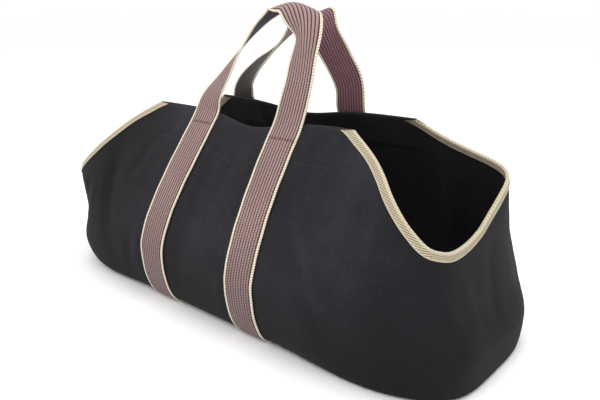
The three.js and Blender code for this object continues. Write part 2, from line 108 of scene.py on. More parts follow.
def column(rows, key, at):
    """Smooth monotone curve through a table's column."""
    xs, ys = rows[:, 0], rows[:, key]
    n = len(xs)
    slope = np.diff(ys) / np.diff(xs)
    tangent = np.empty(n)
    tangent[0], tangent[-1] = slope[0], slope[-1]
    for i in range(1, n - 1):
        a, b = slope[i - 1], slope[i]
        tangent[i] = 0 if a * b <= 0 else 2 * a * b / (a + b)
    s = np.clip(np.asarray(at, float), 0, 1)
    i = np.clip(np.searchsorted(xs, s, side="right") - 1, 0, n - 2)
    h = xs[i + 1] - xs[i]
    u = (s - xs[i]) / h
    return (
        ys[i] * (1 + 2 * u) * (1 - u) ** 2
        + tangent[i] * h * u * (1 - u) ** 2
        + ys[i + 1] * u * u * (3 - 2 * u)
        + tangent[i + 1] * h * u * u * (u - 1)
    )


def ramp(v, lo, hi):
    t = np.clip((np.asarray(v, float) - lo) / (hi - lo), 0, 1)
    return t * t * (3 - 2 * t)


def half_depth(z, x):
    low = BELLY_HEIGHT
    t = np.clip((low - z) / low, 0, None)
    floor = FLOOR_HALF + (FLOOR_HALF_ENDS - FLOOR_HALF) * ramp(np.abs(x), 95, 235)
    below = floor + (BELLY_HALF - floor) * np.sqrt(np.clip(1 - t * t, 0, None))
    u = np.clip((z - low) / (BODY_HEIGHT - low), 0, 1)
    above = BELLY_HALF - (BELLY_HALF - MOUTH_HALF) * u ** LEAN
    return np.where(z < low, below, above)


def half_length(z, side):
    share = z / BODY_HEIGHT
    bend = 0.13 * BODY_HEIGHT
    t = np.clip((bend - z) / bend, 0, None)
    out = np.zeros(np.broadcast(z, side).shape)
    for key, mask in ((1, side > 0), (2, side <= 0)):
        low = PLAN[0, key] + (PLAN[1, key] - PLAN[0, key]) * np.sqrt(np.clip(1 - t * t, 0, None))
        out = np.where(mask, np.where(z < bend, low, column(PLAN, key, share)), out)
    return out


def plan_power(b, power):
    """Turn angle b so that the powers of its sine and cosine are those given."""
    c, s = np.cos(b), np.sin(b)
    return np.arctan2(np.sign(s) * np.abs(s) ** power, np.sign(c) * np.abs(c) ** power)


def skin(b, z):
    """Outer face at direction b and height z, before the straps lift it off the floor. Even steps of b are even on it."""
    return skin_plan(plan_power(np.asarray(b, float), 2.5), z)


def skin_plan(a, z):
    """The same at plan angle a, as in the CAD."""
    a, z = np.broadcast_arrays(np.asarray(a, float), np.asarray(z, float))
    c, s = np.cos(a), np.sin(a)
    power = 2 / column(PLAN, 3, z / BODY_HEIGHT)
    length = half_length(z, c)
    x = length * np.sign(c) * np.abs(c) ** power
    y = half_depth(z, x) * np.sign(s) * np.abs(s) ** power
    x = np.where(x > 0, x - column(PLAN, 4, z / BODY_HEIGHT) * y * (np.abs(x) / length) ** 6, x)
    # the left scoop's low edge is pulled outwards a little
    x = np.where(x <= 0, x - FLARE * ramp(z, 84, 110) * (np.abs(x) / length) ** 10, x)
    for panel, fx, fz, hw, hh, depth, lean in FOLDS:
        dx = (x - fx - lean * (z - fz)) / hw
        dz = (z - fz) / hh
        y = y - np.where(np.sign(y) == panel, panel * depth * np.exp(-dx * dx) * np.exp(-dz * dz) * np.minimum(1, z / 40), 0)
    return np.stack([x, y, z], -1)


def corner_angle(side):
    square = column(PLAN, 3, 1.0)
    return float(np.arccos((TOP_EDGE[side] / half_length(np.array(BODY_HEIGHT), np.array(float(side)))) ** (square / 2)))


CORNER = {1: corner_angle(1), -1: corner_angle(-1)}


R_ = float(plan_power(CORNER[1], 0.4))
L_ = math.pi - float(plan_power(math.pi - CORNER[-1], 0.4))


def end_run(side):
    corner = CORNER[side]
    u = np.linspace(-1, 1, 601)
    t = corner * np.sign(u) * np.abs(u) ** 2.5
    p = skin_plan(t if side > 0 else math.pi - t, SCOOP_PLAN)
    return u, np.concatenate([[0], np.cumsum(np.linalg.norm(np.diff(p, axis=0), axis=1))])


END_RUN = {1: end_run(1), -1: end_run(-1)}


def scoop_height(side, t):
    at, run = END_RUN[side]
    share = np.interp(np.sign(t) * (np.abs(t) / CORNER[side]) ** 0.4, at, run) / run[-1]
    return column(SCOOP[side], 1, share)


def rim_height(b):
    a = plan_power(np.asarray(b, float), 2.5)
    off = np.abs(a)
    right = scoop_height(1, a)
    left = scoop_height(-1, (math.pi - off) * np.sign(a))
    corner = skin_plan(a, BODY_HEIGHT)
    x = corner[..., 0]
    edge = 1 - (x / np.where(x > 0, TOP_EDGE[1], TOP_EDGE[-1])) ** 6
    top = np.full(a.shape, BODY_HEIGHT)
    for panel, dx, hw, depth in DIPS:
        top = top - np.where(np.sign(corner[..., 1]) == panel, edge * depth * np.exp(-(((x - dx) / hw) ** 2)), 0)
    return np.where(off < CORNER[1], right, np.where(math.pi - off < CORNER[-1], left, top))


def rim_point(a):
    return skin(a, rim_height(a))


def even_angles(start, end, steps):
    at = np.linspace(start, end, 3001)
    p = rim_point(at)
    run = np.concatenate([[0], np.cumsum(np.linalg.norm(np.diff(p, axis=0), axis=1))])
    return np.interp(run[-1] * np.arange(steps) / steps, run, at)


def unit(v):
    return v / np.maximum(np.linalg.norm(v, axis=-1, keepdims=True), 1e-12)


def below_rim(a, distance):
    """Plan angle and height of the points at a distance from the rim, square to it, and the frame there."""
    z = rim_height(a)
    at = skin(a, z)
    e = 2e-4
    along = unit(rim_point(a + e) - rim_point(a - e))
    h = 1e-3
    by_angle = (skin(a + h, z) - skin(a - h, z)) / (2 * h)
    by_height = skin(a, z) - skin(a, z - 1)
    normal = unit(np.cross(by_angle, by_height))
    down = unit(np.cross(along, normal))
    down = np.where(down[..., 2:3] > 0, -down, down)
    m11 = (by_angle ** 2).sum(-1)
    m12 = (by_angle * by_height).sum(-1)
    m22 = (by_height ** 2).sum(-1)
    r1 = (by_angle * down).sum(-1) * distance
    r2 = (by_height * down).sum(-1) * distance
    det = m11 * m22 - m12 * m12
    return a + (r1 * m22 - r2 * m12) / det, z + (r2 * m11 - r1 * m12) / det, at, along, normal, down


def panel_y(x, z, panel):
    """The panel's outer face over x and z: its y."""
    side = np.where(x > 0, 1.0, -1.0)
    length = half_length(z, side)
    n = column(PLAN, 3, z / BODY_HEIGHT)
    y = half_depth(z, x) * (1 - np.clip(np.abs(x) / length, 0, 0.999) ** n) ** (1 / n) * panel
    for p, fx, fz, hw, hh, depth, lean in FOLDS:
        if p == panel:
            dx = (x - fx - lean * (z - fz)) / hw
            dz = (z - fz) / hh
            y = y - panel * depth * np.exp(-dx * dx) * np.exp(-dz * dz) * np.minimum(1, z / 40)
    return y


def edge_height(x, panel):
    a = np.linspace(R_ + 1e-6, math.pi - L_ - 1e-6, 2001) * panel
    p = rim_point(a)
    order = np.argsort(p[:, 0])
    return np.interp(x, p[order, 0], p[order, 2])


# ---------------------------------------------------------------- mesh helpers
def place(points):
    """Millimetres of the bag's own frame to metres of the row frame."""
    return (np.asarray(points, float) + SHIFT) * MM


def make_object(name, points, faces, smooth=True, attributes=None, corners=None):
    me = bpy.data.meshes.new(name)
    points = np.ascontiguousarray(points, np.float32)
    me.vertices.add(len(points))
    me.vertices.foreach_set("co", points.ravel())
    sizes = np.array([len(f) for f in faces], np.int32)
    loops = np.fromiter((i for f in faces for i in f), np.int32, int(sizes.sum()))
    me.loops.add(len(loops))
    me.loops.foreach_set("vertex_index", loops)
    me.polygons.add(len(faces))
    me.polygons.foreach_set("loop_start", np.concatenate([[0], np.cumsum(sizes)[:-1]]).astype(np.int32))
    me.update(calc_edges=True)
    me.validate()
    me.polygons.foreach_set("use_smooth", [smooth] * len(me.polygons))
    for key, values in (attributes or {}).items():
        layer = me.attributes.new(key, "FLOAT_VECTOR", "POINT")
        layer.data.foreach_set("vector", np.ascontiguousarray(values, np.float32).ravel())
    for key, values in (corners or {}).items():
        layer = me.attributes.new(key, "FLOAT_VECTOR", "CORNER")
        layer.data.foreach_set("vector", np.ascontiguousarray(values, np.float32).ravel())
    ob = bpy.data.objects.new(name, me)
    bpy.context.scene.collection.objects.link(ob)
    return ob


def grid_faces(rows, cols, wrap_cols, start=0, flip=False):
    r = np.arange(rows - 1)[:, None]
    c = np.arange(cols if wrap_cols else cols - 1)[None, :]
    n = (c + 1) % cols
    f = np.stack([r * cols + c, r * cols + n, (r + 1) * cols + n, (r + 1) * cols + c], -1).reshape(-1, 4) + start
    return (f[:, ::-1] if flip else f).tolist()


def facing_out(points, faces):
    """The faces, turned so that they face out of the closed mesh."""
    p = np.asarray(points, float)
    total = 0.0
    for f in faces:
        for k in range(1, len(f) - 1):
            total += float(np.dot(p[f[0]], np.cross(p[f[k]], p[f[k + 1]])))
    return faces if total > 0 else [list(reversed(f)) for f in faces]


def tube_faces(sections, loop):
    """Faces of a bar of sections, each a closed loop of points, with capped ends."""
    faces = grid_faces(sections, loop, True)
    return faces + [list(range(loop)), list(range((sections - 1) * loop, sections * loop))[::-1]]


def fractal(points, scale, octaves=3):
    """Smooth noise over points, from about -1 to 1, the same each run."""
    out = np.empty(len(points))
    for i, p in enumerate(points):
        v = Vector((float(p[0]) / scale, float(p[1]) / scale, float(p[2]) / scale))
        total, gain, size = 0.0, 1.0, 0.0
        for _ in range(octaves):
            total += gain * noise.noise(v)
            size += gain
            gain *= 0.5
            v = v * 2.03 + Vector((7.1, 3.3, 1.7))
        out[i] = total / size
    return out


# ---------------------------------------------------------------- node helpers
class Shade:
    """A material and short ways to add nodes to it."""

    def __init__(self, name):
        self.material = bpy.data.materials.new(name)
        self.material.use_nodes = True
        self.tree = self.material.node_tree
        self.tree.nodes.clear()
        self.out = self.tree.nodes.new("ShaderNodeOutputMaterial")
        self.shader = self.tree.nodes.new("ShaderNodeBsdfPrincipled")
        self.tree.links.new(self.shader.outputs[0], self.out.inputs[0])

    def link(self, value, socket):
        if isinstance(value, bpy.types.NodeSocket):
            self.tree.links.new(value, socket)
        else:
            socket.default_value = value

    def attribute(self, name):
        n = self.tree.nodes.new("ShaderNodeAttribute")
        n.attribute_type = "GEOMETRY"
        n.attribute_name = name
        return n.outputs["Vector"]

    def split(self, vector):
        n = self.tree.nodes.new("ShaderNodeSeparateXYZ")
        self.link(vector, n.inputs[0])
        return n.outputs[0], n.outputs[1], n.outputs[2]

    def join(self, x, y, z=0.0):
        n = self.tree.nodes.new("ShaderNodeCombineXYZ")
        for v, s in zip((x, y, z), n.inputs):
            self.link(v, s)
        return n.outputs[0]

    def math(self, op, a, b=0.0, c=0.0, clamp=False):
        n = self.tree.nodes.new("ShaderNodeMath")
        n.operation = op
        n.use_clamp = clamp
        self.link(a, n.inputs[0])
        self.link(b, n.inputs[1])
        self.link(c, n.inputs[2])
        return n.outputs[0]

    def add(self, a, b):
        return self.math("ADD", a, b)

    def sub(self, a, b):
        return self.math("SUBTRACT", a, b)

    def mul(self, a, b):
        return self.math("MULTIPLY", a, b)

    def wave(self, a):
        """From 0 to 1 and back once for each whole step of a."""
        n = self.math("SINE", self.mul(a, 2 * math.pi))
        return self.add(self.mul(n, 0.5), 0.5)

    def fraction(self, a):
        return self.math("FRACT", a)

    def step(self, a, lo, hi, top=1.0, bottom=0.0):
        n = self.tree.nodes.new("ShaderNodeMapRange")
        n.interpolation_type = "SMOOTHSTEP"
        n.clamp = True
        self.link(a, n.inputs[0])
        for v, s in zip((lo, hi, bottom, top), n.inputs[1:5]):
            self.link(v, s)
        return n.outputs[0]

    def mix(self, factor, a, b):
        n = self.tree.nodes.new("ShaderNodeMix")
        n.data_type = "RGBA"
        n.clamp_factor = True
        self.link(factor, n.inputs[0])
        for v, s in ((a, n.inputs[6]), (b, n.inputs[7])):
            self.link(v, s)
        return n.outputs[2]

    def noise(self, vector, scale, detail=2.0, rough=0.5):
        n = self.tree.nodes.new("ShaderNodeTexNoise")
        self.link(vector, n.inputs["Vector"])
        n.inputs["Scale"].default_value = scale
        n.inputs["Detail"].default_value = detail
        n.inputs["Roughness"].default_value = rough
        return n.outputs[0]

    def position(self):
        return self.tree.nodes.new("ShaderNodeTexCoord").outputs["Object"]

    def bump(self, height, strength, distance, normal=None):
        n = self.tree.nodes.new("ShaderNodeBump")
        n.inputs["Strength"].default_value = strength
        n.inputs["Distance"].default_value = distance
        self.link(height, n.inputs["Height"])
        if normal is not None:
            self.link(normal, n.inputs["Normal"])
        return n.outputs[0]


def colour(r, g, b):
    """A linear colour from sRGB numbers of 0 to 255."""
    def one(v):
        v /= 255
        return v / 12.92 if v <= 0.04045 else ((v + 0.055) / 1.055) ** 2.4
    return (one(r), one(g), one(b), 1.0)


def canvas_material():
    """Near-black twill: fine diagonal lines, thread-by-thread colour, scuffs and faint dust, and painted shade: darker
    towards the bottom, towards the left and at the right end.
    """
    m = Shade("canvas_twill")
    s, t, worn = m.split(m.attribute("cloth"))  # metres round and down the cloth, and how worn it is
    place_ = m.position()
    diagonal = m.wave(m.math("DIVIDE", m.add(s, m.mul(t, 0.62)), 0.0021))
    warp = m.wave(m.math("DIVIDE", s, 0.00105))
    weft = m.wave(m.math("DIVIDE", t, 0.00125))
    weave = m.add(m.mul(diagonal, 0.62), m.mul(m.mul(warp, weft), 0.38))
    threads = m.noise(m.join(m.mul(s, 900), m.mul(t, 60), 0.0), 1.0, 2.0)
    threads2 = m.noise(m.join(m.mul(s, 70), m.mul(t, 1000), 5.0), 1.0, 2.0)
    yarn = m.add(m.mul(threads, 0.5), m.mul(threads2, 0.5))
    broad = m.noise(place_, 9.0, 3.0, 0.55)
    speck = m.noise(place_, 420.0, 2.0, 0.6)
    dark, mid, light = colour(22, 22, 25), colour(45, 44, 49), colour(70, 68, 75)
    base = m.mix(m.step(weave, 0.12, 0.95), dark, mid)
    base = m.mix(m.mul(m.step(yarn, 0.48, 0.74), 0.28), base, light)
    base = m.mix(m.mul(m.step(broad, 0.45, 0.7), 0.16), base, light)
    base = m.mix(m.mul(m.step(broad, 0.52, 0.3), 0.25), base, colour(20, 20, 23))
    dust = m.mul(m.step(speck, 0.62, 0.76), 0.1)
    base = m.mix(dust, base, colour(110, 104, 102))
    base = m.mix(m.mul(worn, 0.3), base, colour(88, 85, 88))
    # Painted shade: the canvas is painted darker towards the bottom, where less light reaches it.
    height_ = m.split(place_)[2]
    base = m.mix(m.step(height_, 0.12, 0.02, 0.7), base, colour(15, 15, 17))
    # Painted shade: the left of the bag is painted much darker, as it faces away from the key light.
    base = m.mix(m.mul(m.step(m.split(place_)[0], -0.06, -0.21), 0.82), base, colour(10, 10, 12))
    # Painted shade: the right end is painted darker, to hold back the key light that falls on it.
    base = m.mix(m.step(m.split(place_)[0], 0.19, 0.27, 0.5), base, colour(19, 19, 22))
    m.link(base, m.shader.inputs["Base Color"])
    m.link(m.step(weave, 0.0, 1.0, 0.74, 0.9), m.shader.inputs["Roughness"])
    m.shader.inputs["Sheen Weight"].default_value = 0.02
    m.shader.inputs["Sheen Roughness"].default_value = 0.5
    m.shader.inputs["Specular IOR Level"].default_value = 0.12
    fine = m.bump(weave, 0.55, 0.00028)
    soft = m.bump(m.noise(place_, 60.0, 3.0), 0.25, 0.0012, fine)
    m.link(soft, m.shader.inputs["Normal"])
    return m.material


def tape_material():
    """Tan twill tape: slanting ribs, and a paler stitched selvedge."""
    m = Shade("binding_twill")
    s, d, _ = m.split(m.attribute("cloth"))  # metres along the tape, and across it from the fold
    place_ = m.position()
    rib = m.wave(m.math("DIVIDE", m.add(s, m.mul(m.math("ABSOLUTE", d), 1.6)), 0.0039))
    fine = m.wave(m.math("DIVIDE", m.sub(s, m.mul(d, 1.2)), 0.0009))
    uneven = m.noise(place_, 55.0, 3.0, 0.6)
    fibre = m.noise(m.join(m.mul(s, 1500), m.mul(d, 300), 0.0), 1.0, 2.0)
    groove, rise = colour(102, 94, 76), colour(190, 176, 148)
    base = m.mix(m.step(rib, 0.1, 0.72), groove, rise)
    base = m.mix(m.mul(m.step(uneven, 0.4, 0.7), 0.3), base, colour(150, 137, 113))
    base = m.mix(m.mul(m.step(fibre, 0.5, 0.8), 0.35), base, colour(198, 186, 162))
    edge = m.step(m.math("ABSOLUTE", d), 0.0082, 0.0089)
    base = m.mix(m.mul(edge, 0.8), base, colour(206, 195, 172))
    fold = m.step(m.math("ABSOLUTE", d), 0.0026, 0.0012)
    base = m.mix(m.mul(fold, 0.6), base, colour(206, 195, 172))
    m.link(base, m.shader.inputs["Base Color"])
    m.shader.inputs["Roughness"].default_value = 0.88
    m.shader.inputs["Sheen Weight"].default_value = 0.15
    m.shader.inputs["Specular IOR Level"].default_value = 0.3
    height = m.add(m.mul(rib, 0.8), m.mul(fine, 0.2))
    m.link(m.bump(height, 0.7, 0.0004, m.bump(m.noise(place_, 140.0, 2.0), 0.3, 0.0006)), m.shader.inputs["Normal"])
    return m.material


WEB_ROWS = 9
WEB_CORE = 16.7  # half width of the patterned middle


def webbing_material():
    """Rows of rose chain stitch on dark brown, a dark line, and twisted cream selvedges. The back is darker. Painted
    shade darkens it towards the bottom and paints the backs of the left legs near black.
    """
    m = Shade("webbing_weave")
    u, v, face = m.split(m.attribute("web"))  # metres across and along, and 1 on the face, 0 on the back
    tone = m.split(m.attribute("tone"))[0]
    place_ = m.position()
    r = m.math("DIVIDE", m.add(u, WEB_CORE * MM), 2 * WEB_CORE * MM / WEB_ROWS)
    p = m.sub(m.fraction(r), 0.5)
    number = m.math("FLOOR", r)
    odd = m.math("MODULO", number, 2.0)
    row = m.step(m.math("ABSOLUTE", p), 0.42, 0.26)
    q = m.sub(m.fraction(m.add(m.add(m.math("DIVIDE", v, 0.0027), m.mul(odd, 0.5)), m.mul(p, 0.9))), 0.5)
    dash = m.step(m.math("ABSOLUTE", q), 0.46, 0.24)
    fleck = m.noise(m.join(m.mul(u, 500), m.mul(v, 260), 0.0), 1.0, 2.0)
    stitch = m.mul(row, m.add(m.mul(dash, 0.5), 0.5))
    broad = m.noise(place_, 14.0, 3.0)
    ground, rose = colour(40, 26, 27), colour(172, 141, 137)
    base = m.mix(m.mul(stitch, m.add(m.mul(fleck, 0.5), 0.62)), ground, rose)
    base = m.mix(m.mul(m.step(broad, 0.35, 0.7), 0.25), base, colour(96, 68, 66))
    back_ground, back_rose = colour(52, 33, 37), colour(160, 112, 122)
    back = m.mix(m.mul(stitch, m.add(m.mul(fleck, 0.45), 0.5)), back_ground, back_rose)
    base = m.mix(face, back, base)
    across = m.math("ABSOLUTE", u)
    line = m.mul(m.step(across, 0.01655, 0.01675), m.step(across, 0.0178, 0.0175))
    base = m.mix(line, base, colour(58, 46, 34))
    twist = m.wave(m.add(m.math("DIVIDE", v, 0.0026), m.mul(across, 160.0)))
    cream = m.mix(m.step(twist, 0.0, 0.6), colour(176, 160, 134), colour(226, 215, 194))
    edge = m.step(across, 0.0175, 0.0179)
    base = m.mix(edge, base, cream)
    # Painted shade: the webbing is painted darker towards the bottom, where less light reaches it.
    low = m.step(m.split(place_)[2], 0.14, 0.03, 0.42)
    base = m.mix(m.mul(low, m.sub(1.0, edge)), base, colour(58, 42, 44))
    # Painted shade: the backs of the left legs are painted near black.
    base = m.mix(tone, base, colour(13, 10, 10))
    m.link(base, m.shader.inputs["Base Color"])
    m.shader.inputs["Roughness"].default_value = 0.82
    m.shader.inputs["Sheen Weight"].default_value = 0.12
    m.shader.inputs["Specular IOR Level"].default_value = 0.3
    height = m.add(m.mul(m.mul(stitch, m.sub(1.0, edge)), 1.0), m.mul(m.mul(twist, edge), 0.8))
    m.link(m.bump(height, 0.8, 0.0005, m.bump(fleck, 0.3, 0.0003)), m.shader.inputs["Normal"])
    return m.material


def thread_material(name, dark, light, roughness=0.7):
    """Sewing thread: two tones twisted together."""
    m = Shade(name)
    s, t, _ = m.split(m.attribute("cloth"))
    twist = m.wave(m.add(m.math("DIVIDE", s, 0.0007), m.mul(t, 0.16)))
    base = m.mix(twist, dark, light)
    base = m.mix(m.mul(m.step(m.noise(m.position(), 300.0, 2.0), 0.5, 0.7), 0.3), base, light)
    m.link(base, m.shader.inputs["Base Color"])
    m.shader.inputs["Roughness"].default_value = roughness
    m.link(m.bump(twist, 0.5, 0.0002), m.shader.inputs["Normal"])
    return m.material


# ---------------------------------------------------------------- where the bag stands in the row frame
END_STEPS, PANEL_STEPS = 110, 76
BOUND_RINGS, WALL_RINGS, BILGE_RINGS, FLOOR_RINGS = 6, 58, 22, 10

ANGLES = np.concatenate([
    even_angles(-R_, 0, END_STEPS // 2),
    even_angles(0, R_, END_STEPS // 2),
    even_angles(R_, math.pi - L_, PANEL_STEPS),
    even_angles(math.pi - L_, math.pi - 1e-9, END_STEPS // 2),
    even_angles(-math.pi + 1e-9, L_ - math.pi, END_STEPS // 2),
    even_angles(L_ - math.pi, -R_, PANEL_STEPS),
])
COLUMNS = len(ANGLES)
low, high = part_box("canvas_body")
probe = skin(np.linspace(-0.2, 0.2, 401)[:, None], np.linspace(5, 100, 96)[None, :])
SHIFT = np.array([high.x / MM - probe[..., 0].max(), 0.0, LIFT])


# ---------------------------------------------------------------- canvas body
def strap_centre(which, panel, z):
    front_top, front_belly, rear_belly, rear_top = STRAPS[which]
    top, belly = (front_top, front_belly) if panel < 0 else (rear_top, rear_belly)
    u = np.clip((z - BELLY_HEIGHT) / (BODY_HEIGHT - BELLY_HEIGHT), 0, 1)
    return belly + (top - belly) * u * u * (3 - 2 * u)


# Creases of the cloth: panel, x and z of both ends, width, depth. A negative depth stands proud.
CREASES = [
    (-1, 190, 168, 196, 92, 7, 1.7),
    (-1, 205, 160, 214, 96, 8, -1.4),
    (-1, 118, 120, 150, 84, 6, 1.6),
    (-1, 150, 84, 172, 50, 7, 1.5),
    (-1, 132, 128, 170, 88, 7, -1.3),
    (-1, 106, 176, 112, 128, 5, 1.1),
    (-1, 240, 122, 262, 60, 10, 1.4),
    (-1, 228, 66, 262, 30, 8, 1.2),
    (-1, 24, 192, 8, 132, 7, 1.0),
    (-1, -16, 168, -22, 96, 9, 0.9),
    (-1, 40, 96, 30, 42, 8, 0.8),
    (-1, -122, 178, -150, 120, 7, 1.2),
    (-1, -190, 140, -176, 70, 8, 1.3),
    (-1, -232, 120, -246, 62, 8, 1.3),
    (-1, -112, 84, -128, 30, 7, 1.0),
    (1, 176, 158, 168, 84, 8, 1.6),
    (1, 126, 150, 150, 92, 7, -1.2),
    (1, 20, 176, 6, 98, 9, 1.1),
    (1, -40, 150, -52, 84, 8, -0.9),
    (1, -160, 170, -168, 88, 8, 1.6),
    (1, -206, 128, -190, 60, 8, 1.2),
    (1, 236, 120, 226, 58, 9, 1.3),
]
END_CREASES = [  # side, y and z of both ends, width, depth
    (1, -84, 96, -66, 34, 9, 1.8),
    (1, -40, 104, -28, 40, 9, -1.2),
    (1, 18, 110, 6, 44, 10, 1.5),
    (1, 62, 118, 74, 52, 9, 1.4),
    (-1, -70, 92, -78, 40, 8, 1.5),
    (-1, -16, 96, -26, 34, 9, 1.4),
    (-1, 40, 94, 52, 40, 8, 1.4),
]


def segment_distance(px, pz, x0, z0, x1, z1):
    dx, dz = x1 - x0, z1 - z0
    t = np.clip(((px - x0) * dx + (pz - z0) * dz) / (dx * dx + dz * dz), 0, 1)
    return np.hypot(px - x0 - t * dx, pz - z0 - t * dz), t


def settle(p, rim_distance, panel_rim):
    """How far the cloth stands off its smooth shape, in mm: creases, slack and puckers."""
    x, y, z = p[:, 0], p[:, 1], p[:, 2]
    out = 0.9 * fractal(p, 58.0, 3) + 0.35 * fractal(p + 400.0, 19.0, 2)
    for panel, x0, z0, x1, z1, width, depth in CREASES:
        d, t = segment_distance(x, z, x0, z0, x1, z1)
        here = np.sign(y) == panel
        fade = np.exp(-((t - 0.5) / 0.42) ** 4) * ramp(np.abs(y), 30, 62)
        out -= np.where(here, depth * fade * (np.exp(-((d / width) ** 2)) - 0.35 * np.exp(-(((d - 2.1 * width) / width) ** 2))), 0)
    for side, y0, z0, y1, z1, width, depth in END_CREASES:
        d, t = segment_distance(y, z, y0, z0, y1, z1)
        here = ramp(np.abs(x), 238, 262) * (np.sign(x) == side)
        out -= here * depth * np.exp(-((t - 0.5) / 0.45) ** 4) * np.exp(-((d / width) ** 2))
    # the straps hold the cloth down, and it swells a little beside them
    for which in STRAPS:
        for panel in (-1, 1):
            off = np.abs(x - strap_centre(which, panel, z))
            here = np.sign(y) == panel
            out = np.where(here, out * ramp(off, 17, 34) - 0.5 * np.exp(-(((off - 22.5) / 3.0) ** 2)) + 0.5 * np.exp(-(((off - 34) / 8.0) ** 2)), out)
    # flat at the bottom, and calm along the bound and hemmed edges
    out *= ramp(z, 3, 34)
    out *= ramp(rim_distance, 9, 26)
    # puckers under the hem's seam
    seam = np.exp(-(((rim_distance - 41.0) / 1.6) ** 2)) * panel_rim
    out -= 0.45 * seam
    out += 0.35 * panel_rim * np.exp(-(((rim_distance - 20.0) / 18.0) ** 4))
    out += 0.28 * panel_rim * np.sin(x / 2.7 + 1.3 * np.sin(x / 11.0)) * np.exp(-(((rim_distance - 44.0) / 4.0) ** 2))
    return out


def wall_rings():
    """Plan angles and heights of the rings of the canvas, from the rim down to the edge of its flat."""
    base = rim_height(ANGLES)
    b_angle, b_height = below_rim(ANGLES, TAPE_WIDTH + 1)[:2]
    rows = []
    for k in range(BOUND_RINGS + 1):
        u = k / BOUND_RINGS
        rows.append((ANGLES + (b_angle - ANGLES) * u, base + (b_height - base) * u))
    for k in range(1, WALL_RINGS + 1):
        u = k / WALL_RINGS
        rows.append((b_angle + (ANGLES - b_angle) * u, b_height + (BELLY_HEIGHT - b_height) * u))
    for k in range(1, BILGE_RINGS + 1):
        z = BELLY_HEIGHT * (1 - math.sin(k / BILGE_RINGS * math.pi / 2))
        rows.append((ANGLES, np.full(COLUMNS, 0.0 if k == BILGE_RINGS else z)))
    return rows


